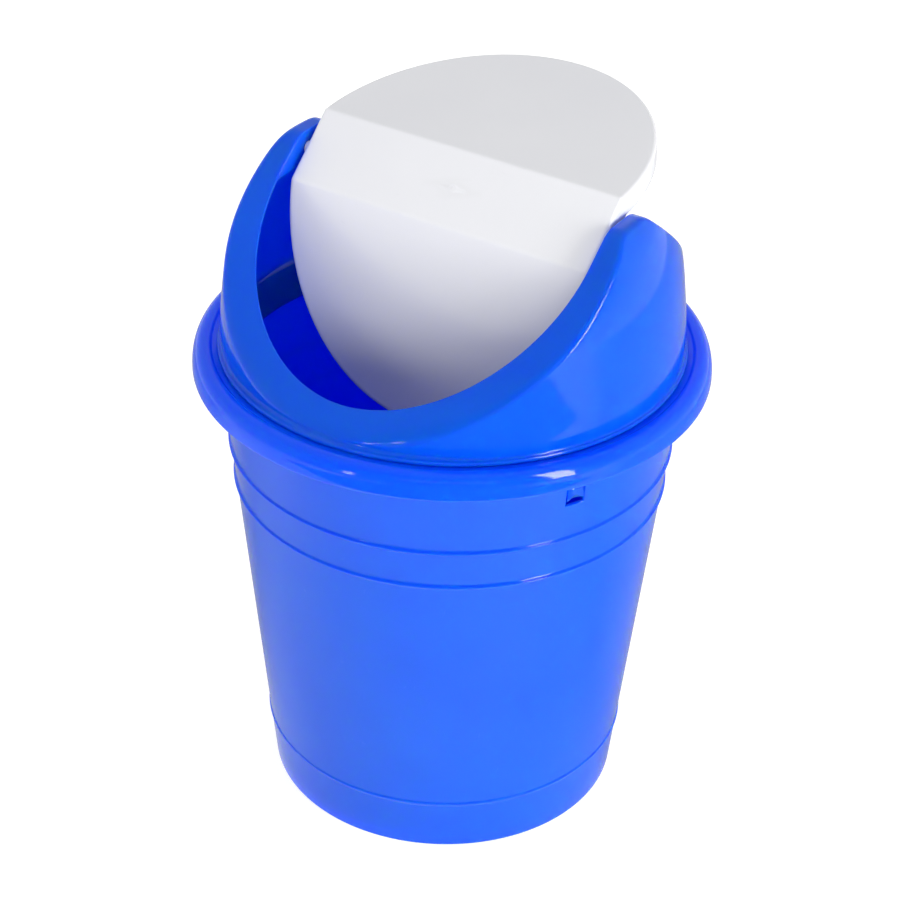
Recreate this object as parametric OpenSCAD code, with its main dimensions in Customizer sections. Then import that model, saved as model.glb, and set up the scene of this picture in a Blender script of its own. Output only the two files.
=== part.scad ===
// Round swing-top wastebasket: open bucket with a rolled rim, a domed hood
// that snaps into the rim, and a folded flap that swings on two trunnions.
// Millimetres, +Z up, X along the flap's pivot line, -Y the front.
// Origin: centre of the foot ring, on the floor.

/* [Bucket] */
// Outside radius of the wall line at floor level
wall_r0 = 84.5; // [82:0.1:86]
// Radius gained per millimetre of height
wall_taper = 0.103; // [0.09:0.001:0.12]
// Wall thickness of the bucket
wall_t = 1.6; // [1.4:0.1:2.2]
// Height of the rim's top face
rim_z = 234.5; // [225:0.5:245]
// Outside radius of the rolled rim
rim_r = 120.2; // [117:0.1:124]
// Height of the rolled rim's side
rim_drop = 11.5; // [9:0.5:14]
// Height of the low rib above the floor
band_low_z = 28; // [20:1:40]
// Height of the lower rib under the rim
band_mid_z = 165.2; // [150:0.2:175]
// Height of the upper rib under the rim
band_top_z = 184.9; // [178:0.2:195]
// Depth of the seat for the hood inside the rim's crown
seat_drop = 1.3; // [0.5:0.1:1.6]
// How far each rib stands out
rib_h = 1.1; // [0.6:0.05:1.4]
// Underside of the floor panel above the foot
floor_z = 3; // [2:0.5:8]

/* [Catches] */
// Angle of each catch from the pivot line
catch_deg = 26.3; // [20:0.5:40]
// Width of the slot in the bucket wall
slot_w = 10.6; // [8:0.2:14]
// Height of the slot
slot_h = 10.5; // [8:0.5:12]
// Lower edge of the slot
slot_z = 203; // [202:0.5:204]

/* [Hood] */
// Wall thickness of the hood
hood_t = 1.6; // [1.4:0.1:2.2]
// Slope of the opening planes
open_deg = 39; // [36:0.5:42]
// Height where the front opening plane meets the axis
front_z = 322.8; // [320:0.2:326]
// Height where the rear opening plane meets the axis
rear_z = 329; // [324:0.2:330]
// Height of the flat on top of each ear
ear_z = 317.6; // [316:0.2:318]
// Height of the lower edge of the bearing web in each ear
web_z = 301.6; // [300:0.2:302]
// Half the width of the opening
open_a = 81; // [80:0.5:83]
// Depth of the rounded end of the opening
open_b = 73; // [70:0.5:75]

/* [Flap] */
// Half the length of the flap along its pivot line
flap_l = 78.9; // [77:0.1:79.2]
// Width of the flat band on top
flap_band = 37; // [30:1:42]
// Length of each rounded wing
flap_wing = 95.6; // [90:0.2:96]
// Fold between the band and each wing
flap_fold = 37; // [34:0.5:39]
// Depth of the skirt round the flap
skirt_h = 10; // [6:0.5:12]
// Wall thickness of the flap
flap_t = 1.6; // [1.4:0.1:2.2]
// How far the flap is swung open at rest
swing_deg = 42; // [0:1:60]
// Height of the pivot line
pivot_z = 308.8; // [307.6:0.1:309.2]
// Depth of the pivot line under the band
pivot_drop = 5.5; // [5:0.1:6]
// Radius of the trunnions
pin_r = 3; // [2.5:0.1:3.4]

/* [Hidden] */
$fn = 96;
pin_play = 0.06;
plate_t = 2.2;
web_half = 33;
crown_r = 113.6;
mouth_r = 105.6;
foot_bead_r = 108.4;
seat_z = rim_z - seat_drop;

blue = [0.07, 0.24, 0.95];
white = [0.93, 0.93, 0.94];

// ---------- bucket ----------

function wr(z) = wall_r0 + wall_taper * z;

// a rib round the wall: sloped top, rounded crest, short underside
function rib(z, h) = [
    [wr(z - 1.5), z - 1.5], [wr(z) + h, z - 0.4], [wr(z) + h, z + 0.3], [wr(z + 2.5), z + 2.5]
];

// outer wall line, foot to rim, as [radius, height]
function wall_line() = concat(
    [[wr(0), 0]],
    rib(band_low_z, rib_h / 2), rib(band_mid_z, rib_h), rib(band_top_z, rib_h),
    [[wr(226), 226], [wr(226) + 2.4, rim_z - 3.3]]
);

// rolled rim: squared-off quarter curve from the top flat to the lip
function rim_curve(a, b, x0, z0, n, m) = [
    for (i = [0 : m]) let (t = 90 * i / m)
        [x0 + a * pow(sin(t), 2 / n), z0 + b * pow(cos(t), 2 / n)]
];

function rev(v) = [for (i = [len(v) - 1 : -1 : 0]) v[i]];

module bucket_profile() {
    lip_z = rim_z - rim_drop;
    n = 2.5;
    polygon(concat(
        wall_line(),
        rim_curve(rim_r - 2.1 - crown_r - 0.6, rim_drop - 2.1, crown_r + 0.6, lip_z, n, 6),
        [[rim_r - 2.0, lip_z - 0.2], [rim_r - 0.2, lip_z - 0.2]],
        rev(rim_curve(rim_r - crown_r, rim_drop, crown_r, lip_z, n, 10)),
        // crown falls to the seat the hood's foot rests on
        [[crown_r - 2, rim_z - 0.3 * seat_drop], [crown_r - 2.8, seat_z],
         [mouth_r + 0.5, seat_z], [mouth_r, seat_z - 0.5]],
        [[mouth_r, 219], [wr(217) - wall_t, 217], [wr(floor_z + 5) - wall_t, floor_z + 5],
         [wr(0) - wall_t - 2.6, floor_z + 1.9],
         [0, floor_z + 1.9], [0, floor_z],
         [wr(0) - wall_t - 0.6, floor_z],
         [wr(0) - wall_t - 0.6, 0]]
    ));
}

module catch_places() {
    for (a = [catch_deg, -catch_deg, 180 + catch_deg, 180 - catch_deg])
        rotate([0, 0, a]) children();
}

module bucket() {
    color(blue)
    difference() {
        rotate_extrude($fn = 120) bucket_profile();
        catch_places()
            translate([101, -slot_w / 2, slot_z]) cube([12, slot_w, slot_h]);
    }
}

// ---------- hood ----------

// outside line of the dome above the rim, [radius, height]
dome = [
    [106.9, 237.4], [107.1, 240], [107, 246], [106.5, 253], [105.7, 261],
    [104.8, 269], [103.8, 277], [102.4, 284.5], [100.7, 291], [98.8, 297],
    [96.8, 302.5], [94.8, 307.5], [92.6, 312], [89.9, 316], [86, 319.6], [80, 323]
];

function unit(v) = v / norm(v);
function nrm(p, i) = let (
    a = p[max(i - 1, 0)], b = p[min(i + 1, len(p) - 1)], t = unit(b - a)
) [t[1], -t[0]];
function inset(p, d) = [for (i = [0 : len(p) - 1]) p[i] - d * nrm(p, i)];

module dome_profile() {
    polygon(concat(
        [[0, 214], [104.5, 214], [105, seat_z], [foot_bead_r - 0.3, seat_z], [foot_bead_r, seat_z + 0.4],
         [foot_bead_r, seat_z + 1.4], [foot_bead_r - 0.4, seat_z + 1.9]],
        dome, [[0, 323]]
    ));
}

module dome_hollow() {
    polygon(concat(
        [[0, 213], [104.5 - hood_t, 213], [105 - hood_t, seat_z]],
        inset(dome, hood_t), [[0, 323 - hood_t]]
    ));
}

// end view of the roof formed by the two opening planes; d moves it inwards
module roof_profile(d) {
    s = tan(open_deg);
    k = d / cos(open_deg);
    top = ear_z - d;
    r = 12 - d;
    tf = r * tan(open_deg / 2);
    // corner positions of the moved-in roof
    cf = (top - (front_z - k)) / s;
    cr = ((rear_z - k) - top) / s;
    polygon(concat(
        [[-130, 200], [-130, front_z - k - 130 * s]],
        [for (i = [0 : 8]) let (a = 90 + open_deg * (1 - i / 8))
            [cf + tf + r * cos(a), top - r + r * sin(a)]],
        [for (i = [0 : 8]) let (a = 90 - open_deg * i / 8)
            [cr - tf + r * cos(a), top - r + r * sin(a)]],
        [[130, rear_z - k - 130 * s], [130, 200]]
    ));
}

module roof(d) {
    rotate([90, 0, 90]) translate([0, 0, -125]) linear_extrude(250) roof_profile(d);
}

// plan of the opening: straight between the ears, rounded at both ends
module opening_plan() {
    n = 1.92;
    c = 21;
    polygon(concat(
        [for (i = [0 : 36]) let (t = 180 * i / 36)
            [open_a * sign(cos(t)) * pow(abs(cos(t)), 2 / n),
             c + open_b * pow(abs(sin(t)), 2 / n)]],
        [for (i = [0 : 36]) let (t = 180 * i / 36)
            [-open_a * sign(cos(t)) * pow(abs(cos(t)), 2 / n),
             -c - open_b * pow(abs(sin(t)), 2 / n)]]
    ));
}

// web hanging under the flange along the opening's side
module ear_web(s) {
    translate([s > 0 ? open_a - 2.5 : -open_a - plate_t, -web_half, web_z])
        cube([plate_t + 2.5, 2 * web_half, 20]);
}

module hood() {
    color(blue)
    difference() {
        union() {
            difference() {
                union() {
                    difference() {
                        intersection() {
                            rotate_extrude($fn = 120) dome_profile();
                            roof(0);
                        }
                        intersection() {
                            rotate_extrude($fn = 120) dome_hollow();
                            roof(hood_t);
                        }
                    }
                    // bearing webs hanging inside the ears
                    intersection() {
                        roof(0.4);
                        union() { ear_web(1); ear_web(-1); }
                    }
                }
                translate([0, 0, 237]) linear_extrude(100) opening_plan();
            }
            // catches: a tab below the skirt with a barb through each slot
            catch_places() {
                translate([101.6, -4.2, 205]) cube([2, 8.4, 12]);
                translate([102.6, 0, 0]) rotate([90, 0, 90]) linear_extrude(4)
                    polygon([[-4.2, 212.4], [4.2, 212.4], [4.2, 205.6], [0, 208.6], [-4.2, 205.6]]);
            }
        }
        // trunnion bores
        translate([-88, 0, pivot_z]) rotate([0, 90, 0]) cylinder(r = pin_r + pin_play, h = 8);
        translate([80, 0, pivot_z]) rotate([0, 90, 0]) cylinder(r = pin_r + pin_play, h = 8);
    }
}

// ---------- flap ----------

// outline of one wing, y away from the fold, moved in by d
module wing_plan(d) {
    a = flap_l - d;
    b = flap_wing - 2 - d;
    polygon(concat(
        [[a, -0.01]],
        [for (i = [0 : 40]) let (t = 180 * i / 40) [a * cos(t), 2 + b * sin(t)]],
        [[-a, -0.01]]
    ));
}

// folded slab: d moves the outline in, drop lowers the top, h is its depth
module folded(d, drop, h) {
    hw = flap_band / 2;
    // shift of the fold line when the top is lowered
    g = drop * tan(flap_fold / 2);
    translate([-flap_l + d, -hw + g, -drop - h]) cube([2 * (flap_l - d), flap_band - 2 * g, h]);
    for (m = [0, 1]) mirror([0, m, 0])
        translate([0, hw, 0]) rotate([-flap_fold, 0, 0]) {
            translate([0, 0, -drop - h]) linear_extrude(h) difference() {
                wing_plan(d);
                translate([-100, -1]) square([200, 1]);
            }
        }
}

module flap() {
    color(white)
    translate([0, 0, pivot_z]) rotate([swing_deg, 0, 0])
    union() {
        translate([0, 0, pivot_drop]) {
            difference() {
                folded(0, 0, skirt_h);
                folded(flap_t, flap_t, skirt_h + 20);
            }
            // gate mark
            translate([0, 0, -0.5]) cylinder(r = 2.1, h = 0.8);
        }
        for (s = [-1, 1]) {
            translate([s > 0 ? flap_l - 0.5 : -flap_l - 1, 0, 0]) rotate([0, 90, 0]) cylinder(r = 3.8, h = 1.5);
            translate([s > 0 ? flap_l - 1 : -flap_l - 5.7, 0, 0]) rotate([0, 90, 0]) cylinder(r = pin_r, h = 6.7);
        }
    }
}

bucket();
hood();
flap();
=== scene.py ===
import math
import bpy, bmesh
import numpy as np
from mathutils import Vector, Matrix


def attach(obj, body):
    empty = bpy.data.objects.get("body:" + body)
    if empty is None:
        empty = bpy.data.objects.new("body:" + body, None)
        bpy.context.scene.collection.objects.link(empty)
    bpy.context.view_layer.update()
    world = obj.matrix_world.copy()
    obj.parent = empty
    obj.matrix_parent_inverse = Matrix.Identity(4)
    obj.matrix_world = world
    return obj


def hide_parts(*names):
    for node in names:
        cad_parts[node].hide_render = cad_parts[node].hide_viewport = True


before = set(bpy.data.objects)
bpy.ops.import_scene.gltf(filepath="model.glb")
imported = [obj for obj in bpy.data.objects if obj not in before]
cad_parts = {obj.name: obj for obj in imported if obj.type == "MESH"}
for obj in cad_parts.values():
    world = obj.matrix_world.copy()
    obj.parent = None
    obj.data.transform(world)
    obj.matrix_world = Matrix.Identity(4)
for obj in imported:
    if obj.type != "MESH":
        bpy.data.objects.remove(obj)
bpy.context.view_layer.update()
sc = bpy.context.scene
sc.view_settings.view_transform = "Standard"
sc.view_settings.look = "None"
MM = 0.001

# ------------------------------------------------------------------ camera
PHI, PITCH, ROLL = math.radians(32.03), 0.5702, 0.0245
DIST, HIGH = 1.03895, 0.83878
cam = bpy.data.objects.new("camera", bpy.data.cameras.new("camera"))
sc.collection.objects.link(cam)
cam.data.lens, cam.data.sensor_width = 104.0, 36.0
cam.data.clip_start, cam.data.clip_end = 0.05, 20
fwd = Vector((-math.sin(PHI) * math.cos(PITCH), math.cos(PHI) * math.cos(PITCH), -math.sin(PITCH)))
right = fwd.cross(Vector((0, 0, 1))).normalized()
up = right.cross(fwd)
r2 = math.cos(ROLL) * right + math.sin(ROLL) * up
u2 = -math.sin(ROLL) * right + math.cos(ROLL) * up
m = Matrix((r2, u2, -fwd)).transposed().to_4x4()
m.translation = Vector((DIST * math.sin(PHI), -DIST * math.cos(PHI), HIGH))
cam.matrix_world = m
sc.camera = cam


# ------------------------------------------------------------ mesh helpers
class Build:
    """collects vertices and faces, in millimetres"""

    def __init__(self):
        self.v, self.f, self.n = [], [], 0

    def add(self, pts):
        pts = np.asarray(pts, float)
        flat = pts.reshape(-1, 3)
        ids = np.arange(self.n, self.n + len(flat)).reshape(pts.shape[:-1])
        self.v.append(flat)
        self.n += len(flat)
        return ids

    def grid(self, ids, close_i=False, close_j=False, skip=None, flip=False):
        ni, nj = ids.shape
        for i in range(ni if close_i else ni - 1):
            for j in range(nj if close_j else nj - 1):
                if skip is not None and skip[i, j]:
                    continue
                a, b = ids[i, j], ids[i, (j + 1) % nj]
                c, d = ids[(i + 1) % ni, (j + 1) % nj], ids[(i + 1) % ni, j]
                q = (a, b, c, d)
                q = q[::-1] if flip else q
                if len(set(q)) == 4:
                    self.f.append(q)
                elif len(set(q)) == 3:
                    t = []
                    for k in q:
                        if k not in t:
                            t.append(k)
                    self.f.append(tuple(t))

    def fan(self, centre, ring, flip=False, close=True):
        n = len(ring)
        for k in range(n if close else n - 1):
            t = (centre, ring[k], ring[(k + 1) % n])
            self.f.append(t[::-1] if flip else t)

    def make(self, name, sharp=38):
        me = bpy.data.meshes.new(name)
        v = np.concatenate(self.v) * MM
        me.from_pydata([tuple(p) for p in v], [], [tuple(int(k) for k in q) for q in self.f])
        me.validate()
        bm = bmesh.new()
        bm.from_mesh(me)
        bmesh.ops.remove_doubles(bm, verts=bm.verts, dist=1e-6)
        bmesh.ops.dissolve_degenerate(bm, edges=bm.edges, dist=1e-6)
        loose = [w for w in bm.verts if not w.link_faces]
        bmesh.ops.delete(bm, geom=loose, context="VERTS")
        bmesh.ops.recalc_face_normals(bm, faces=bm.faces)
        bm.to_mesh(me)
        bm.free()
        ob = bpy.data.objects.new(name, me)
        sc.collection.objects.link(ob)
        smooth(ob, sharp)
        return ob


def smooth(ob, sharp):
    me = ob.data
    me.polygons.foreach_set("use_smooth", [True] * len(me.polygons))
    me.set_sharp_from_angle(angle=math.radians(sharp))
    me.update()


def fillet(pts, radii, seg=5):
    """open polyline with its corners rounded"""
    pts = [np.asarray(p, float) for p in pts]
    out = [pts[0]]
    for k in range(1, len(pts) - 1):
        a, p, b = pts[k - 1], pts[k], pts[k + 1]
        r = radii[k] if k < len(radii) else 0
        u, w = a - p, b - p
        lu, lw = np.linalg.norm(u), np.linalg.norm(w)
        u, w = u / lu, w / lw
        ang = math.acos(max(-1, min(1, float(u @ w))))
        if r <= 0 or math.pi - ang < 0.02:
            out.append(p)
            continue
        t = min(r / math.tan(ang / 2), 0.49 * lu, 0.49 * lw)
        rr = t * math.tan(ang / 2)
        c = p + (u + w) / np.linalg.norm(u + w) * rr / math.sin(ang / 2)
        s, e = p + u * t - c, p + w * t - c
        turn = math.pi - ang
        for q in range(seg + 1):
            f = q / seg
            out.append(c + (math.sin((1 - f) * turn) * s + math.sin(f * turn) * e) / math.sin(turn))
    out.append(pts[-1])
    return out


def densify(pts, step):
    """adds points on long straight runs"""
    out = [pts[0]]
    for a, b in zip(pts[:-1], pts[1:]):
        n = max(1, int(math.ceil(np.linalg.norm(b - a) / step)))
        for k in range(1, n + 1):
            out.append(a + (b - a) * k / n)
    return out


def union_into(ob, others, mode="UNION"):
    """cuts or joins other closed meshes into ob and leaves one closed mesh"""
    for o in others:
        md = ob.modifiers.new("cut", "BOOLEAN")
        md.operation, md.solver, md.object = mode, "EXACT", o
        bpy.context.view_layer.update()
        dg = bpy.context.evaluated_depsgraph_get()
        me = bpy.data.meshes.new_from_object(ob.evaluated_get(dg), depsgraph=dg)
        ob.modifiers.clear()
        old = ob.data
        ob.data = me
        bpy.data.meshes.remove(old)
        bpy.data.objects.remove(o)


def lathe(points, frame_m, n=32, name="lathe"):
    """closed solid of revolution about the local z axis; points are [radius, z], first and last on the axis"""
    b = Build()
    th = np.linspace(0, 2 * math.pi, n, endpoint=False)
    rings = []
    for r, z in points[1:-1]:
        rings.append(b.add([[r * math.cos(t), r * math.sin(t), z] for t in th]))
    ids = np.array(rings)
    b.grid(ids, close_j=True)
    c0 = b.add([[0, 0, points[0][1]]])[0]
    c1 = b.add([[0, 0, points[-1][1]]])[0]
    b.fan(c0, ids[0], flip=True)
    b.fan(c1, ids[-1])
    for k, p in enumerate(b.v):
        q = np.c_[p, np.ones(len(p))] @ np.asarray(frame_m).T
        b.v[k] = q[:, :3]
    return b.make(name)


# ------------------------------------------------------- dimensions, in mm
WALL_R0, TAPER, WALL_T = 84.5, 0.103, 1.6
RIM_Z, RIM_R, RIM_DROP, CROWN_R = 234.5, 120.2, 11.5, 113.6
LOW_Z, MID_Z, TOP_Z, RIB = 28.0, 165.2, 184.9, 1.1
FLOOR_Z, MOUTH_R = 3.0, 105.6
CATCH = math.radians(26.3)
SLOT_W, SLOT_H, SLOT_Z = 10.6, 10.5, 203.0
HOOD_T, OPEN = 1.6, math.radians(39)
FRONT_Z, REAR_Z, EAR_Z = 322.8, 329.0, 317.6
OPEN_A, OPEN_B, OPEN_C, OPEN_N = 81.0, 73.0, 21.0, 1.92
WEB_Z, WEB_T = 301.6, 2.2
FLAP_L, BAND, WING, FOLD = 78.9, 37.0, 95.6, math.radians(37)
SKIRT, FLAP_T, SWING = 10.0, 1.6, math.radians(42)
PIVOT_Z, PIVOT_DROP, PIN_R = 308.8, 5.5, 3.0
SEAT_Z = 233.2


def wr(z):
    return WALL_R0 + TAPER * z


# ------------------------------------------------------------------ bucket
def rim_curve(a, b, x0, z0, n, k, t0=0.0):
    t = [math.radians(t0 + (90 - t0) * i / k) for i in range(k + 1)]
    return [np.array([x0 + a * math.sin(q) ** (2 / n), z0 + b * math.cos(q) ** (2 / n)]) for q in t]


def bucket():
    lip = RIM_Z - RIM_DROP

    def rib(z, h):
        return [[wr(z - 1.5), z - 1.5], [wr(z) + h, z - 0.45], [wr(z) + h, z + 0.35], [wr(z + 1.2), z + 1.2]]

    # outside, from under the floor to the rim's root
    outer = fillet(
        [[0, FLOOR_Z], [wr(0) - 2.5, FLOOR_Z], [wr(0) - 2.1, 0], [wr(0), 0]] + rib(LOW_Z, 0.5 * RIB) +
        rib(MID_Z, RIB) + rib(TOP_Z, RIB) +
        [[wr(226), 226], [wr(226) + 2.3, 231.2], [CROWN_R + 0.6, RIM_Z - 2.1]],
        [0, 0.6, 0.5, 0.9] + [0.9, 0.3, 0.3, 0.9] + [1.0, 0.4, 0.4, 0.9] * 2 + [3.0, 2.2, 0])
    under = rim_curve(RIM_R - 2.7 - CROWN_R, RIM_DROP - 2.1, CROWN_R + 0.6, lip, 2.5, 10, 12)
    lipc = [np.array(p) for p in ([RIM_R - 2.1, lip + 0.3], [RIM_R - 1.85, lip - 0.08], [RIM_R - 1.5, lip - 0.25],
                                  [RIM_R - 0.95, lip - 0.25], [RIM_R - 0.6, lip - 0.15],
                                  [RIM_R - 0.28, lip + 0.07], [RIM_R - 0.08, lip + 0.36])]
    roll = rim_curve(RIM_R - CROWN_R, RIM_DROP - 0.7, CROWN_R, lip + 0.7, 2.5, 26)[::-1]
    crown = [np.array(p) for p in ([112.6, RIM_Z - 0.06], [112.0, RIM_Z - 0.26], [111.5, RIM_Z - 0.62],
                                   [111.1, SEAT_Z + 0.2], [110.6, SEAT_Z + 0.02], [106.2, SEAT_Z - 0.05],
                                   [105.8, SEAT_Z - 0.25], [MOUTH_R, SEAT_Z - 0.7])]
    t = WALL_T
    inner = fillet(
        [[MOUTH_R, SEAT_Z - 0.7], [MOUTH_R, 219], [wr(217) - t, 217], [wr(FLOOR_Z + 2) - t, FLOOR_Z + 1.9],
         [0, FLOOR_Z + 1.9]],
        [0, 1.2, 1.2, 3.2, 0])
    # the same heights of rows on both faces round the slots
    e = 0.55
    rows = [SLOT_Z, SLOT_Z + 0.3 * e, SLOT_Z + 0.7 * e, SLOT_Z + e, SLOT_Z + 3.6, SLOT_Z + 7,
            SLOT_Z + SLOT_H - e, SLOT_Z + SLOT_H - 0.7 * e, SLOT_Z + SLOT_H - 0.3 * e, SLOT_Z + SLOT_H]

    def insert(chain, zs, falling):
        zs = sorted(zs, reverse=falling)
        out = []
        for a, b in zip(chain[:-1], chain[1:]):
            out.append(a)
            for z in zs:
                if (a[1] - z) * (b[1] - z) < 0 and abs(a[1] - b[1]) > 5:
                    f = (z - a[1]) / (b[1] - a[1])
                    out.append(a + (b - a) * f)
        out.append(chain[-1])
        return out

    outer = insert(outer, rows, False)
    inner = insert(inner, rows, True)
    chain = outer + under[1:] + lipc + roll[:-1] + [np.array([CROWN_R, RIM_Z])] + crown[:-1] + inner
    keep = [chain[0]]
    for p in chain[1:]:
        if np.linalg.norm(p - keep[-1]) > 0.02:
            keep.append(p)
    chain = densify(keep, 9.0)
    prof = np.array(chain[1:-1])
    # columns: even spacing, with the slots' edges let in
    half = SLOT_W / 2 / 106.0
    de = e / 106.0
    cols = set(np.round(np.linspace(0, 2 * math.pi, 240, endpoint=False), 7))
    spans = []
    for c in (CATCH, -CATCH, math.pi + CATCH, math.pi - CATCH):
        c %= 2 * math.pi
        spans.append(c)
        cols = {q for q in cols if abs((q - c + math.pi) % (2 * math.pi) - math.pi) > half + 0.006}
        for s in (-1, 1):
            for f in (0, 0.3, 0.7, 1):
                cols.add(round((c + s * (half - f * de)) % (2 * math.pi), 7))
        for f in (-0.5, 0, 0.5):
            cols.add(round((c + f * half) % (2 * math.pi), 7))
    th = np.array(sorted(cols))
    R = np.repeat(prof[:, :1], len(th), 1)
    Z = np.repeat(prof[:, 1:], len(th), 1)
    is_out = np.zeros(len(prof), bool)
    is_in = np.zeros(len(prof), bool)
    top = int(np.argmax(prof[:, 1]))
    for k, (r, z) in enumerate(prof):
        if SLOT_Z - 1e-6 <= z <= SLOT_Z + SLOT_H + 1e-6:
            if k < top:
                is_out[k] = True
            else:
                is_in[k] = True
    out_rows = np.where(is_out)[0]
    in_rows = np.where(is_in)[0][::-1]
    zs_out = prof[out_rows, 1]
    zs_in = prof[in_rows, 1]
    wanted = np.array(sorted(set(np.round(zs_out, 4)) & set(np.round(zs_in, 4))))
    b = Build()
    skip = np.zeros((len(prof) - 1, len(th)), bool)
    holes = []
    for c in spans:
        off = (th - c + math.pi) % (2 * math.pi) - math.pi
        cin = np.where(np.abs(off) <= half + 1e-6)[0]
        cin = cin[np.argsort(off[cin])]
        for k in out_rows:
            for j in cin:
                d = min((half - abs(off[j])) * 106.0, prof[k, 1] - SLOT_Z, SLOT_Z + SLOT_H - prof[k, 1])
                d = min(max(d, 0), e)
                R[k, j] -= 0.8 * (e - math.sqrt(max(e * e - d * d, 0)))
        inside_c = [j for j in cin if abs(off[j]) <= half - de + 1e-6]
        lo, hi = SLOT_Z + e, SLOT_Z + SLOT_H - e
        ro = [k for k in out_rows if lo - 1e-4 <= prof[k, 1] <= hi + 1e-4]
        ri = [k for k in in_rows if lo - 1e-4 <= prof[k, 1] <= hi + 1e-4]
        for k in range(min(ro), max(ro)):
            for j in inside_c[:-1]:
                skip[k, j] = True
        for k in range(min(ri), max(ri)):
            for j in inside_c[:-1]:
                skip[k, j] = True
        holes.append((ro, ri, inside_c))
    ids = b.add(np.stack([R * np.cos(th), R * np.sin(th), Z], -1))
    b.grid(ids, close_j=True, skip=skip)
    for ro, ri, cc in holes:
        loop_o = [ids[ro[0], j] for j in cc] + [ids[k, cc[-1]] for k in ro[1:]] + \
                 [ids[ro[-1], j] for j in cc[::-1][1:]] + [ids[k, cc[0]] for k in ro[::-1][1:-1]]
        loop_i = [ids[ri[0], j] for j in cc] + [ids[k, cc[-1]] for k in ri[1:]] + \
                 [ids[ri[-1], j] for j in cc[::-1][1:]] + [ids[k, cc[0]] for k in ri[::-1][1:-1]]
        if len(loop_o) == len(loop_i):
            b.grid(np.array([loop_o, loop_i]), close_j=True)
        else:
            raise RuntimeError("slot loops differ: %d %d" % (len(loop_o), len(loop_i)))
    c0 = b.add([[0, 0, chain[0][1]]])[0]
    c1 = b.add([[0, 0, chain[-1][1]]])[0]
    b.fan(c0, ids[0], flip=True)
    b.fan(c1, ids[-1])
    return b.make("bucket_shell", sharp=50)


# -------------------------------------------------------------------- hood
DOME = np.array([[106.9, 237.4], [107.05, 240], [107.0, 246], [106.5, 253], [105.7, 261], [104.8, 269],
                 [103.8, 277], [102.4, 284.5], [100.7, 291], [98.8, 297], [96.8, 302.5], [94.8, 307.5],
                 [92.6, 312], [89.9, 316], [86, 319.6], [80, 323]])


def spline(x, y):
    """natural cubic through the points, as a function"""
    n = len(x)
    h = np.diff(x)
    A = np.zeros((n, n))
    rhs = np.zeros(n)
    A[0, 0] = A[-1, -1] = 1
    for i in range(1, n - 1):
        A[i, i - 1], A[i, i], A[i, i + 1] = h[i - 1], 2 * (h[i - 1] + h[i]), h[i]
        rhs[i] = 3 * ((y[i + 1] - y[i]) / h[i] - (y[i] - y[i - 1]) / h[i - 1])
    c = np.linalg.solve(A, rhs)

    def f(q):
        i = int(np.clip(np.searchsorted(x, q) - 1, 0, n - 2))
        d = q - x[i]
        bb = (y[i + 1] - y[i]) / h[i] - h[i] * (2 * c[i] + c[i + 1]) / 3
        dd = (c[i + 1] - c[i]) / (3 * h[i])
        return y[i] + bb * d + c[i] * d * d + dd * d ** 3
    return f


dome_r = spline(DOME[:, 1], DOME[:, 0])


def sstep(a, b, x):
    t = min(1.0, max(0.0, (x - a) / (b - a)))
    return t * t * (3 - 2 * t)


def wall_r(z, th):
    """outside of the hood's wall: a little flatter low down at the front and back"""
    w = sstep(0.55, 0.98, abs(math.sin(th)))
    return dome_r(min(max(z, 235.0), 323.0)) - 1.6 * w * (1 - sstep(243, 272, z))


def roof(y):
    """height of the flange's top surface"""
    s = math.tan(OPEN)
    r = 12.0
    tf = r * math.tan(OPEN / 2)
    if y < 0:
        c = (EAR_Z - FRONT_Z) / s
        d = c - y
        plane = FRONT_Z + s * y
    else:
        c = (REAR_Z - EAR_Z) / s
        d = y - c
        plane = REAR_Z - s * y
    # d is the distance past the bend, away from the ear
    if d <= -tf:
        return EAR_Z
    if d >= tf * math.cos(OPEN):
        return plane
    x = d + tf
    return EAR_Z - r + math.sqrt(max(r * r - x * x, 0))


def edge_r(th):
    """radius of the opening's edge at an angle"""
    cx, sy = math.cos(th), abs(math.sin(th))
    lo, hi = 20.0, 110.0
    for _ in range(50):
        r = (lo + hi) / 2
        x, y = abs(r * cx), r * sy
        if y <= OPEN_C:
            inside = x < OPEN_A
        else:
            inside = (x / OPEN_A) ** OPEN_N + ((y - OPEN_C) / OPEN_B) ** OPEN_N < 1
        lo, hi = (r, hi) if inside else (lo, r)
    return (lo + hi) / 2


def bezier(p0, t0, p1, t1, n, h=None):
    """curve from p0 leaving along t0 to p1 arriving along t1; n points strictly between"""
    p0, p1, t0, t1 = map(np.asarray, (p0, p1, t0, t1))
    ang = math.acos(max(-1, min(1, float(t0 @ t1))))
    chord = np.linalg.norm(p1 - p0)
    k = h if h else (chord / 3 if ang < 0.05 else
                     4 / 3 * math.tan(ang / 4) * chord / (2 * math.sin(ang / 2)))
    a, b = p0 + t0 * k, p1 - t1 * k
    out = []
    for i in range(1, n + 1):
        u = i / (n + 1)
        out.append((1 - u) ** 3 * p0 + 3 * (1 - u) ** 2 * u * a + 3 * (1 - u) * u * u * b + u ** 3 * p1)
    return out


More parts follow.
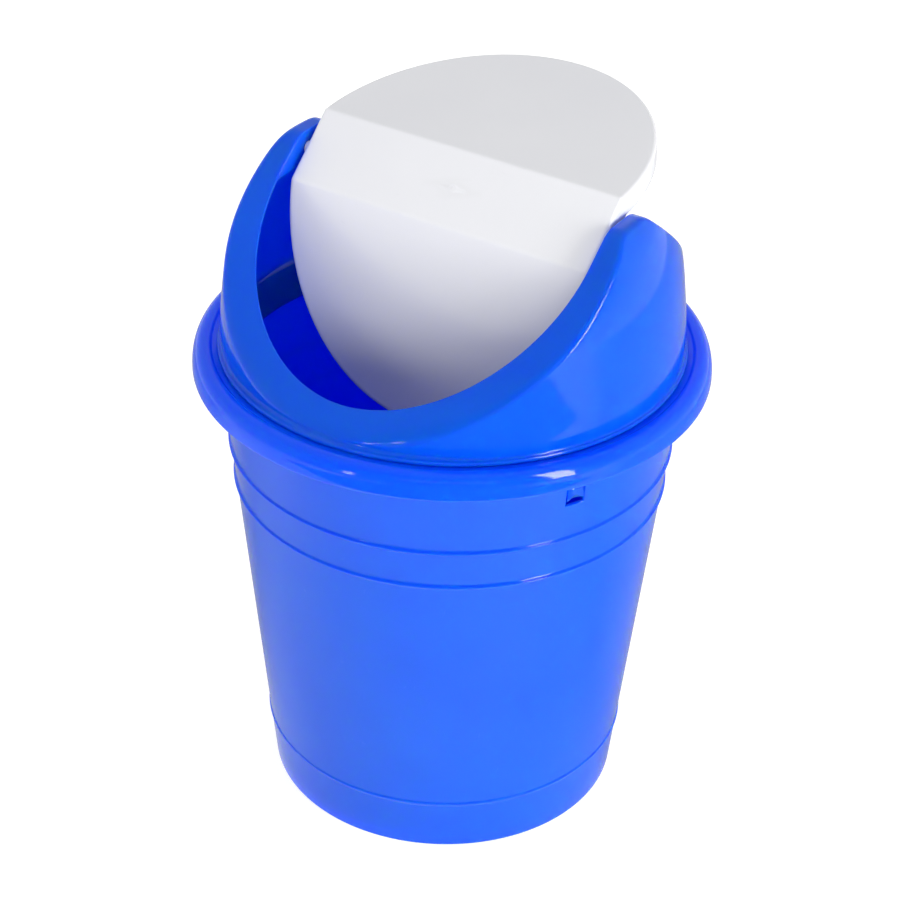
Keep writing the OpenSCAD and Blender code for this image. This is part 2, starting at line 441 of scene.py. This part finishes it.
def hood_section(th):
    """closed outline in [radius, height] at one angle; the same number of points at every angle"""
    s_th = math.sin(th)
    E = edge_r(th)

    def zf(r):
        return roof(r * s_th)

    # where the wall meets the flange
    lo, hi = 236.0, 322.9
    for _ in range(50):
        z = (lo + hi) / 2
        lo, hi = (z, hi) if zf(wall_r(z, th)) > z else (lo, z)
    zc = (lo + hi) / 2
    rc = wall_r(zc, th)
    dz = 0.4
    tw = np.array([wall_r(zc, th) - wall_r(zc - dz, th), dz])
    tw /= np.linalg.norm(tw)
    tfl = np.array([-1.0, (zf(rc - 1.0) - zf(rc)) / 1.0])
    tfl /= np.linalg.norm(tfl)
    turn = math.acos(max(-1, min(1, float(tw @ tfl))))
    rho = 4.6 + 4.0 * sstep(0.72, 1.0, abs(s_th))
    T = rho * math.tan(turn / 2)
    # a longer sweep on the flange's side at the front and back
    TF = min(T + 3.6 * sstep(0.45, 0.9, abs(s_th)), 0.5 * (rc - E) / abs(tfl[0]))
    T = min(T, 0.46 * (rc - E) / abs(tfl[0]), max(1.2, zc - 237.6))
    foot_top = 235.3
    z_w = zc - T * tw[1]
    P = []
    # foot: seat, edge and top of the foot, then up the wall
    P += [np.array(p) for p in ([104.95, SEAT_Z - 0.3], [105.2, SEAT_Z + 0.05], [107.9, SEAT_Z + 0.05], [108.2, SEAT_Z + 0.15],
                                [108.42, SEAT_Z + 0.5], [108.45, SEAT_Z + 0.9], [108.4, SEAT_Z + 1.4], [108.2, SEAT_Z + 1.75],
                                [107.9, SEAT_Z + 1.95])]
    rw = wall_r(foot_top + 1.3, th)
    g = (107.9 - rw)
    P += [np.array([107.9 - g * f, SEAT_Z + 1.95 + 0.12 * f]) for f in (0.25, 0.5)]
    q0 = P[-1]
    q1 = np.array([rw, foot_top + 1.3])
    P += bezier(q0, np.array([-1.0, 0.06]), q1, np.array([0.0, 1.0]), 4, 0.55 * min(1.0, 0.5 * g + 0.2)) + [q1]
    zz = np.linspace(foot_top + 1.3, z_w, 15)[1:]
    P += [np.array([wall_r(z, th), z]) for z in zz]
    pw = P[-1]
    tw2 = np.array([wall_r(z_w, th) - wall_r(z_w - dz, th), dz])
    tw2 /= np.linalg.norm(tw2)
    rf = rc - TF * abs(tfl[0])
    pf = np.array([rf, zf(rf)])
    tf2 = np.array([-1.0, (zf(rf - 0.6) - zf(rf)) / 0.6])
    tf2 /= np.linalg.norm(tf2)
    lw, lf = T * 0.6, TF * 0.6
    for i in range(1, 12):
        u = i / 12
        P.append((1 - u) ** 3 * pw + 3 * (1 - u) ** 2 * u * (pw + tw2 * lw) + 3 * (1 - u) * u * u * (pf - tf2 * lf) + u ** 3 * pf)
    P.append(pf)
    # flange to the edge
    re_ = 0.6
    rr = np.linspace(rf, E + re_, 8)[1:]
    P += [np.array([r, zf(r)]) for r in rr]
    sl = math.atan2(zf(E) - zf(E + 1.5), 1.5)  # rises towards the edge at the front
    tt = np.array([-math.cos(sl), math.sin(sl)])
    down = np.array([0.0, -1.0])
    D = zf(E + re_) - re_ - 0.1
    under = HOOD_T / math.cos(abs(sl))
    z_bot = min(zf(E) - under, max(WEB_Z, -1e9) if zf(E) - under > WEB_Z else zf(E) - under)
    # a soft change from the hanging web to the plain edge
    k = 1.2
    a_, b_ = zf(E) - under, WEB_Z
    hmix = min(1.0, max(0.0, 0.5 + 0.5 * (b_ - a_) / k))
    z_bot = a_ if a_ <= b_ - k else (b_ if a_ >= b_ + k else (a_ * (1 - 0) if False else b_ * (1 - hmix) + a_ * hmix - k * hmix * (1 - hmix)))
    z_bot = min(z_bot, a_)
    e0 = P[-1]
    e1 = np.array([E, zf(E) - re_])
    P += bezier(e0, tt, e1, down, 4) + [e1]
    rb = 0.5
    zz = np.linspace(e1[1], z_bot + rb, 6)[1:]
    P += [np.array([E, z]) for z in zz]
    hang = sstep(0.0, 3.0, a_ - z_bot)
    rb2 = E + 1.1 + (WEB_T - 1.1 - rb) * hang
    zu = lambda r: zf(r) - under
    p2 = np.array([rb2, min(z_bot, zu(rb2))])
    dirn = np.array([math.cos(sl), -math.sin(sl)]) * (1 - hang) + np.array([1.0, 0.0]) * hang
    dirn /= np.linalg.norm(dirn)
    p1 = np.array([E + rb, z_bot]) if hang > 0.5 else np.array([E + rb, min(z_bot, zu(E + rb))])
    P += bezier(P[-1], down, p1, dirn, 3) + [p1, p2]
    p3 = np.array([E + WEB_T + 0.001, min(zu(E + WEB_T), zu(E + WEB_T))])
    # outer side of the web, up to the underside
    p2b = np.array([E + WEB_T, p2[1] + (rb * hang)])
    if hang < 0.02:
        p2b = p2 + (p3 - p2) * 0.4
    for f in (0.0, 0.33, 0.66):
        P.append(p2b + (p3 - p2b) * f)
    P.append(p3)
    # underside to the inner crease
    def wi(z):
        d = 0.5
        sl_ = (wall_r(z + d, th) - wall_r(z - d, th)) / (2 * d)
        return wall_r(z, th) - HOOD_T * math.sqrt(1 + sl_ * sl_)
    lo, hi = 230.0, 322.0
    for _ in range(50):
        z = (lo + hi) / 2
        lo, hi = (z, hi) if zu(wi(z)) > z else (lo, z)
    zi = (lo + hi) / 2
    ri = wi(zi)
    Ti = min(max(T - 1.2, 0.8), 0.45 * (ri - p3[0]), max(0.6, zi - 236.2))
    ru = ri - Ti * abs(tfl[0])
    rr = np.linspace(p3[0], ru, 6)[1:]
    P += [np.array([r, zu(r)]) for r in rr]
    z_i = zi - Ti
    pi = np.array([wi(z_i), z_i])
    P += bezier(P[-1], -tfl, pi, -tw, 5) + [pi]
    zz = np.linspace(z_i, 235.2, 13)[1:]
    P += [np.array([wi(z), z]) for z in zz]
    # inside of the foot and skirt
    P += [np.array([min(wi(235.2), 104.3), 234.2]), np.array([103.5, 232.6]), np.array([103.35, 228]),
          np.array([103.2, 221]), np.array([102.95, 215]), np.array([103.0, 214.35]), np.array([103.25, 214.05]),
          np.array([103.7, 214.0]), np.array([104.1, 214.05]), np.array([104.42, 214.3]), np.array([104.5, 214.8]),
          np.array([104.62, 220]), np.array([104.78, 227]), np.array([104.9, 232.0])]
    return P


def hood():
    # closer columns on the ears and where the opening turns
    th = [0.0]
    while th[-1] < 2 * math.pi:
        s = abs(math.sin(th[-1]))
        th.append(th[-1] + math.radians(0.75 + 0.95 * sstep(0.35, 0.7, s)))
    th = np.array(th[:-1]) if 2 * math.pi - th[-2] < math.radians(0.4) else np.array(th[:-1])
    th = th * (2 * math.pi / (th[-1] + (th[1] - th[0])))
    secs = [np.array(hood_section(t)) for t in th]
    n = {len(s) for s in secs}
    assert len(n) == 1, n
    S = np.stack(secs)  # angle, point, 2
    V = np.stack([S[..., 0] * np.cos(th)[:, None], S[..., 0] * np.sin(th)[:, None], S[..., 1]], -1)
    b = Build()
    ids = b.add(V)
    b.grid(ids, close_i=True, close_j=True)
    ob = b.make("hood_shell", sharp=50)
    # bores for the trunnions
    for s in (-1, 1):
        mt = Matrix.Translation((s * 80.0, 0, PIVOT_Z)) @ Matrix.Rotation(s * math.pi / 2, 4, "Y")
        cut = lathe([[0, -1.5], [3.35, -1.5], [3.06, 0.85], [3.06, 4.2], [0, 4.2]], mt, 40, "bore")
        union_into(ob, [cut], "DIFFERENCE")
    # catches
    tabs = []
    for c in (CATCH, -CATCH, math.pi + CATCH, math.pi - CATCH):
        tb = Build()
        xs = [-4.2, -3.9, 0, 3.9, 4.2]
        side = [[101.6, 217.0], [101.6, 205.6], [102.1, 205.0], [102.8, 205.0], [103.4, 205.4], [104.9, 205.7],
                [105.75, 206.1], [106.0, 206.7], [106.0, 207.6], [105.6, 211.6], [105.1, 212.3], [103.5, 212.5],
                [103.5, 217.0]]
        rows = []
        for x in xs:
            cr = 0.35 if abs(x) > 4 else 0.0
            pr = np.array(side, float)
            cen = np.array([103.4, 210.0])
            if cr:
                pr[1:-1] = pr[1:-1] + (cen - pr[1:-1]) / np.linalg.norm(cen - pr[1:-1], axis=1)[:, None] * cr
            # notch in the lower edge of the barb
            notch = 2.6 * max(0.0, 1 - abs(x) / 4.2)
            q = pr.copy()
            q[4:8, 1] += notch * np.array([0.5, 0.95, 1, 0.9])
            if abs(x) < 1:
                q[5:9, 0] -= 0.1
            rows.append(np.stack([q[:, 0], np.full(len(q), x), q[:, 1]], -1))
        idt = tb.add(np.array(rows))
        tb.grid(idt, close_j=True)
        tb.f.append(tuple(int(k) for k in idt[0]))
        tb.f.append(tuple(int(k) for k in idt[-1][::-1]))
        rot = np.array(Matrix.Rotation(c, 3, "Z"))
        tb.v = [p @ rot.T for p in tb.v]
        tabs.append(tb.make("catch"))
    union_into(ob, tabs)
    ob.name = ob.data.name = "hood_shell"
    smooth(ob, 45)
    return ob


# -------------------------------------------------------------------- flap
def folded_point(x, s, d, R=3.2):
    """point of the folded flap: x along the fold, s along the surface across it, d below the top"""
    hw = BAND / 2
    ta = math.tan(FOLD / 2)
    sg = 1 if s >= 0 else -1
    a = abs(s)
    W = 13.0
    # mitre: at the fold every depth lies on the bisector
    if a <= hw:
        f = max(0.0, 1 - (hw - a) / W)
        e = (a - hw) + d * ta * (1 - f)
        e = min(e, 0.0)
        e = (a - hw) * (1 - 0) if False else e
    else:
        f = max(0.0, 1 - (a - hw) / W)
        e = (a - hw) - d * ta * (1 - f)
        e = max(e, 0.0)
    # e is now measured from the corner of the surface at depth d
    r = max(R - d, 0.35)
    T = r * ta
    cy, cz = hw - d * ta, -d
    wy, wz = math.cos(FOLD), -math.sin(FOLD)
    if e <= -T:
        y, z = cy + e, cz
    elif e >= T:
        y, z = cy + e * wy, cz + e * wz
    else:
        q = (e + T) / (2 * T) * FOLD
        y, z = cy - T + r * math.sin(q), cz - r * (1 - math.cos(q))
    return np.array([x, sg * y, z])


def place(p):
    """from the closed flap's own place to its place at rest"""
    y, z = p[..., 1], p[..., 2] + PIVOT_DROP
    c, s = math.cos(SWING), math.sin(SWING)
    return np.stack([p[..., 0], c * y - s * z, s * y + c * z + PIVOT_Z], -1)


def flap_rows(inset):
    """rows of the flap's plan as (half width, s), from one tip to the other, tips left out"""
    hw = BAND / 2
    a, bb = FLAP_L - inset, WING - 2 - inset
    ph = [math.radians(v) for v in (0, 2.5, 5, 8, 11, 15, 19, 23, 27, 31, 35, 39, 43, 47, 51, 55, 59, 63, 66.5,
                                    70, 73, 76, 78.5, 81, 83, 85, 86.5, 88)]
    out = []
    for p in ph:
        out.append((a * math.cos(p), hw + 2 + bb * math.sin(p)))
    band = [0.0, 4.0, 8.0, 11.5, 14.0, 15.8, 16.8, 17.3, 17.7, 18.1, 18.5, 18.9, 19.3, 19.7, 20.1]
    rows = [(a, s) for s in band] + [q for q in out if q[1] > hw + 1.7]
    return rows, hw + 2 + bb


def flap():
    b = Build()
    ncol = 25
    us = [math.sin(math.pi / 2 * t) for t in np.linspace(-1, 1, ncol)]

    def surface(inset, depth):
        rows, tip = flap_rows(inset)
        full = [(w, -s) for w, s in rows[::-1] if s > 0] + rows
        ids = []
        for w, s in full:
            ids.append(b.add([folded_point(w * u, s, depth) for u in us]))
        ids = np.array(ids)
        t0 = b.add([folded_point(0, -tip, depth)])[0]
        t1 = b.add([folded_point(0, tip, depth)])[0]
        return ids, t0, t1, full, tip

    EDGE = 1.9
    top, ta0, ta1, full, tip = surface(EDGE, 0.0)
    b.grid(top)
    b.fan(ta0, top[0], flip=True, close=False)
    b.fan(ta1, top[-1], close=False)
    und, tb0, tb1, _, _ = surface(FLAP_T + 1.2, FLAP_T)
    b.grid(und, flip=True)
    b.fan(tb0, und[0], close=False)
    b.fan(tb1, und[-1], flip=True, close=False)

    def loop_ids(grid, t0, t1):
        return [t0] + [grid[i, -1] for i in range(len(grid))] + [t1] + [grid[i, 0] for i in range(len(grid) - 1, -1, -1)]

    def loop_pts(inset, depth):
        rows, tp = flap_rows(inset)
        f = [(w, -s) for w, s in rows[::-1] if s > 0] + rows
        pts = [folded_point(0, -tp, depth)] + [folded_point(w, s, depth) for w, s in f] + \
              [folded_point(0, tp, depth)] + [folded_point(-w, s, depth) for w, s in f[::-1]]
        return b.add(pts)

    loops = [np.array(loop_ids(top, ta0, ta1))]
    r = EDGE
    for q in (13, 26, 39, 52, 65, 78, 90):
        q = math.radians(q)
        loops.append(loop_pts(r - r * math.sin(q), r - r * math.cos(q)))
    for d in (3.8, 6.0, 8.2):
        loops.append(loop_pts(0, d))
    rb = 0.45
    for q in (0, 30, 60, 90):
        q = math.radians(q)
        loops.append(loop_pts(rb - rb * math.cos(q), SKIRT - rb + rb * math.sin(q)))
    for q in (90, 60, 30, 0):
        q = math.radians(q)
        loops.append(loop_pts(FLAP_T - 0.1 - rb + rb * math.cos(q), SKIRT - rb + rb * math.sin(q)))
    for d in (7.4, 4.8):
        loops.append(loop_pts(FLAP_T - 0.1 + 0.1 * (SKIRT - d) / SKIRT, d))
    r2_ = 1.2
    for q in (0, 30, 60):
        q = math.radians(q)
        loops.append(loop_pts(FLAP_T + r2_ - r2_ * math.cos(q), FLAP_T + r2_ - r2_ * math.sin(q)))
    loops.append(np.array(loop_ids(und, tb0, tb1)))
    b.grid(np.array(loops), close_j=True)
    b.v = [place(p) for p in b.v]
    ob = b.make("flap_shell", sharp=50)
    rot = Matrix.Rotation(SWING, 4, "X")
    extra = []
    for s in (-1, 1):
        mt = Matrix.Translation((s * (FLAP_L - 1.0), 0, PIVOT_Z)) @ rot @ Matrix.Rotation(s * math.pi / 2, 4, "Y")
        extra.append(lathe([[0, 0], [3.6, 0], [3.6, 1.2], [3.5, 1.38], [3.3, 1.45], [3.12, 1.45], [3.0, 1.55], [3.0, 6.1],
                            [2.85, 6.5], [2.5, 6.7], [0, 6.7]], mt, 40, "trunnion"))
    # gate mark in the middle of the band
    mt = Matrix.Translation((0, 0, PIVOT_Z)) @ rot @ Matrix.Translation((0, 0, PIVOT_DROP))
    extra.append(lathe([[0, -0.5], [2.2, -0.5], [2.15, -0.02], [1.95, 0.05], [1.6, 0.08], [1.25, 0.04], [0.95, 0.03],
                        [0.6, 0.06], [0.5, 0.14], [0.3, 0.19], [0, 0.2]], mt, 32, "gate"))
    union_into(ob, extra)
    ob.name = ob.data.name = "flap_shell"
    smooth(ob, 40)
    return ob


# --------------------------------------------------------------- materials
def plastic(name, dark, light, rough, drift=14.0, sss=0.0, radius=(0, 0, 0), scale=0.001, wave=0.10, fade=None, spec=0.5):
    mat = bpy.data.materials.new(name)
    mat.use_nodes = True
    nt = mat.node_tree
    N, L = nt.nodes, nt.links
    b = N["Principled BSDF"]
    b.inputs["IOR"].default_value = 1.49
    b.inputs["Specular IOR Level"].default_value = spec
    tc = N.new("ShaderNodeTexCoord")

    def noise(scale_, detail, rough_=0.5, vec=None):
        n = N.new("ShaderNodeTexNoise")
        n.inputs["Scale"].default_value = scale_
        n.inputs["Detail"].default_value = detail
        n.inputs["Roughness"].default_value = rough_
        L.new(vec if vec else tc.outputs["Object"], n.inputs["Vector"])
        return n.outputs["Fac"]

    def ramp(src, a, b_, lo, hi):
        mr = N.new("ShaderNodeMapRange")
        mr.inputs["From Min"].default_value, mr.inputs["From Max"].default_value = a, b_
        mr.inputs["To Min"].default_value, mr.inputs["To Max"].default_value = lo, hi
        L.new(src, mr.inputs["Value"])
        return mr.outputs["Result"]

    def math_(op, a, b_):
        q = N.new("ShaderNodeMath")
        q.operation = op
        for k, v in ((0, a), (1, b_)):
            if isinstance(v, (int, float)):
                q.inputs[k].default_value = v
            else:
                L.new(v, q.inputs[k])
        return q.outputs[0]

    # slow colour drift of the moulding
    mix = N.new("ShaderNodeMix")
    mix.data_type = "RGBA"
    mix.inputs[6].default_value = (*dark, 1)
    mix.inputs[7].default_value = (*light, 1)
    L.new(ramp(noise(drift, 2.5), 0.3, 0.7, 0, 1), mix.inputs[0])
    colour = mix.outputs[2]
    # fine hairline scuffs, stretched one way
    mp = N.new("ShaderNodeMapping")
    mp.inputs["Rotation"].default_value = (0.5, 0.3, 0.9)
    mp.inputs["Scale"].default_value = (1.0, 9.0, 1.0)
    L.new(tc.outputs["Object"], mp.inputs["Vector"])
    hair = ramp(noise(160, 3, 0.6, mp.outputs["Vector"]), 0.66, 0.74, 0, 1)
    patch = ramp(noise(26, 2), 0.5, 0.66, 0, 1)
    scuff = math_("MULTIPLY", hair, patch)
    # worn edges
    geo = N.new("ShaderNodeNewGeometry")
    worn = ramp(geo.outputs["Pointiness"], 0.53, 0.6, 0, 1)
    if fade:
        mx = N.new("ShaderNodeMix")
        mx.data_type = "RGBA"
        mx.inputs[7].default_value = (*fade, 1)
        L.new(math_("MULTIPLY", math_("ADD", math_("MULTIPLY", worn, 0.35), math_("MULTIPLY", scuff, 0.6)), 0.25), mx.inputs[0])
        L.new(colour, mx.inputs[6])
        colour = mx.outputs[2]
    L.new(colour, b.inputs["Base Color"])
    # roughness: polished moulding, duller in patches, scuffs and on worn edges
    base = ramp(noise(38, 5, 0.6), 0.35, 0.7, rough * 0.85, rough * 1.3)
    rg = math_("ADD", base, math_("ADD", math_("MULTIPLY", scuff, 0.12), math_("MULTIPLY", worn, 0.05)))
    L.new(rg, b.inputs["Roughness"])
    # sink marks and flow waviness, with a trace of grain
    hgt = math_("ADD", math_("MULTIPLY", noise(20, 1.5), 1.0),
                math_("ADD", math_("MULTIPLY", noise(420, 2), 0.012), math_("MULTIPLY", scuff, -0.01)))
    bp = N.new("ShaderNodeBump")
    bp.inputs["Strength"].default_value = wave
    bp.inputs["Distance"].default_value = 0.002
    L.new(hgt, bp.inputs["Height"])
    L.new(bp.outputs["Normal"], b.inputs["Normal"])
    if sss:
        b.inputs["Subsurface Weight"].default_value = sss
        b.inputs["Subsurface Radius"].default_value = radius
        b.inputs["Subsurface Scale"].default_value = scale
    return mat


blue = plastic("blue_plastic_shell", (0.0014, 0.098, 0.88), (0.0025, 0.111, 0.95), 0.08,
               sss=1.0, radius=(0.012, 0.06, 1.0), scale=0.0068, fade=(0.05, 0.22, 0.98), spec=0.34)
white = plastic("white_plastic_flap", (0.85, 0.855, 0.895), (0.885, 0.89, 0.92), 0.17, drift=9, wave=0.14,
                fade=(0.66, 0.66, 0.66))

pieces = {"bucket": bucket(), "hood": hood(), "flap": flap()}
for node, ob in pieces.items():
    ob.data.materials.clear()
    ob.data.materials.append(white if node == "flap" else blue)
    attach(ob, "flap" if node == "flap" else "bin")
    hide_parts(node)

# ------------------------------------------------------------------- stage
me = bpy.data.meshes.new("floor")
me.from_pydata([(-5, -5, 0), (5, -5, 0), (5, 5, 0), (-5, 5, 0)], [], [(0, 1, 2, 3)])
floor = bpy.data.objects.new("floor", me)
sc.collection.objects.link(floor)
fm = bpy.data.materials.new("floor")
fm.use_nodes = True
fb = fm.node_tree.nodes["Principled BSDF"]
fb.inputs["Base Color"].default_value = (0.45, 0.45, 0.45, 1)
fb.inputs["Roughness"].default_value = 0.9
fb.inputs["Specular IOR Level"].default_value = 0.1
fb.inputs["Emission Color"].default_value = (1, 1, 1, 1)
fb.inputs["Emission Strength"].default_value = 0.80
me.materials.append(fm)


def camdir(side, toward, height):
    """a place given from the camera's point of view: right, towards the camera, up"""
    f = Vector((-math.sin(PHI), math.cos(PHI), 0))
    r = Vector((math.cos(PHI), math.sin(PHI), 0))
    return r * side - f * toward + Vector((0, 0, height))


def polar(az, el, dist, z0=0.22):
    """a place round the object: az to the right of the camera's side, el above its middle"""
    az, el = math.radians(az), math.radians(el)
    p = camdir(math.sin(az) * math.cos(el) * dist, math.cos(az) * math.cos(el) * dist, math.sin(el) * dist)
    return p + Vector((0, 0, z0))


world = bpy.data.worlds.new("world")
sc.world = world
world.use_nodes = True
wn, wl = world.node_tree.nodes, world.node_tree.links
bg = wn["Background"]
wt = wn.new("ShaderNodeTexCoord")
sp = wn.new("ShaderNodeSeparateXYZ")
wl.new(wt.outputs["Generated"], sp.inputs[0])
cr = wn.new("ShaderNodeValToRGB")
cr.color_ramp.elements[0].position = 0.0
cr.color_ramp.elements[0].color = (0.78, 0.78, 0.78, 1)
cr.color_ramp.elements[1].position = 0.75
cr.color_ramp.elements[1].color = (0.42, 0.42, 0.42, 1)
el = cr.color_ramp.elements.new(0.25)
el.color = (0.62, 0.62, 0.62, 1)
wl.new(sp.outputs[2], cr.inputs[0])
# darker on the photographer's side
dot = wn.new("ShaderNodeVectorMath")
dot.operation = "DOT_PRODUCT"
wl.new(wt.outputs["Generated"], dot.inputs[0])
dot.inputs[1].default_value = tuple(camdir(0, 1, 0))
side = wn.new("ShaderNodeMapRange")
side.inputs["From Min"].default_value = -0.1
side.inputs["From Max"].default_value = 0.7
side.inputs["To Min"].default_value = 1.0
side.inputs["To Max"].default_value = 0.25
wl.new(dot.outputs["Value"], side.inputs["Value"])
mul = wn.new("ShaderNodeVectorMath")
mul.operation = "SCALE"
wl.new(cr.outputs["Color"], mul.inputs[0])
wl.new(side.outputs["Result"], mul.inputs["Scale"])
wl.new(mul.outputs["Vector"], bg.inputs["Color"])
bg.inputs["Strength"].default_value = 1.0


def area(name, loc, target, sx, sy, radiance, glossy=True, diffuse=True):
    """a soft box of a given brightness"""
    d = bpy.data.lights.new(name, "AREA")
    d.shape = "RECTANGLE"
    d.size, d.size_y = sx, sy
    d.energy = radiance * sx * sy * math.pi
    o = bpy.data.objects.new(name, d)
    sc.collection.objects.link(o)
    o.location = loc
    o.rotation_euler = (Vector(target) - Vector(loc)).to_track_quat("-Z", "Y").to_euler()
    o.visible_camera = False
    o.visible_glossy = glossy
    o.visible_diffuse = diffuse
    return o


mid = (0, 0, 0.2)
area("key_right", polar(45, 22, 1.5), mid, 0.27, 1.15, 18.0, diffuse=False)
area("key_soft", polar(46, 13, 1.5), mid, 0.34, 0.75, 20.0, glossy=False)
area("left_fill", polar(-88, 22, 1.8), mid, 1.0, 0.9, 1.2, glossy=False)
area("strip_left", polar(-40, 12, 1.7), mid, 0.12, 0.45, 9.0)
area("front_fill", polar(-2, 9, 1.9), mid, 1.4, 0.7, 3.0, glossy=False)
area("front_card", polar(0, 30, 1.9), mid, 1.3, 0.45, 0.45, diffuse=False)
area("top_fill", (0, 0, 2.0), mid, 1.8, 1.8, 0.88, glossy=False)
area("back_left", polar(-128, 25, 1.6), mid, 1.0, 1.0, 1.0, glossy=False)


def card(name, pts, albedo, glow, near=None):
    """a card lying on the floor, seen only in reflections"""
    me = bpy.data.meshes.new(name)
    me.from_pydata([tuple(q) for q in pts], [], [tuple(range(len(pts)))])
    o = bpy.data.objects.new(name, me)
    sc.collection.objects.link(o)
    gm = bpy.data.materials.new(name)
    gm.use_nodes = True
    gb = gm.node_tree.nodes["Principled BSDF"]
    gb.inputs["Base Color"].default_value = (albedo, albedo, albedo, 1)
    gb.inputs["Roughness"].default_value = 1.0
    gb.inputs["Emission Color"].default_value = (1, 1, 1, 1)
    gb.inputs["Emission Strength"].default_value = glow
    if near:
        # brighter in front of the object, and a little on its left
        N, L = gm.node_tree.nodes, gm.node_tree.links
        tc, dp, mr = N.new("ShaderNodeTexCoord"), N.new("ShaderNodeVectorMath"), N.new("ShaderNodeMapRange")
        dp.operation = "DOT_PRODUCT"
        dp.inputs[1].default_value = tuple(camdir(-0.35, 1, 0))
        L.new(tc.outputs["Object"], dp.inputs[0])
        L.new(dp.outputs["Value"], mr.inputs["Value"])
        for k, v in zip(("From Min", "From Max", "To Min", "To Max"), near):
            mr.inputs[k].default_value = v
        L.new(mr.outputs["Result"], gb.inputs["Emission Strength"])
    me.materials.append(gm)
    o.visible_camera = o.visible_diffuse = o.visible_shadow = o.visible_transmission = False


# the table the photographer's studio shows in the plastic: grey round the foot, dark in front
card("apron", [camdir(1.3 * math.cos(t), 1.3 * math.sin(t), 0.0012) for t in np.linspace(0, 2 * math.pi, 48, endpoint=False)],
     0.22, 0.28, (-0.02, 0.15, 0.28, 0.95))
card("flag", [camdir(-0.75, 0.34, 0.003), camdir(0.55, 0.34, 0.003), camdir(1.6, 4.6, 0.003), camdir(-1.6, 4.6, 0.003)],
     0.12, 0.0)
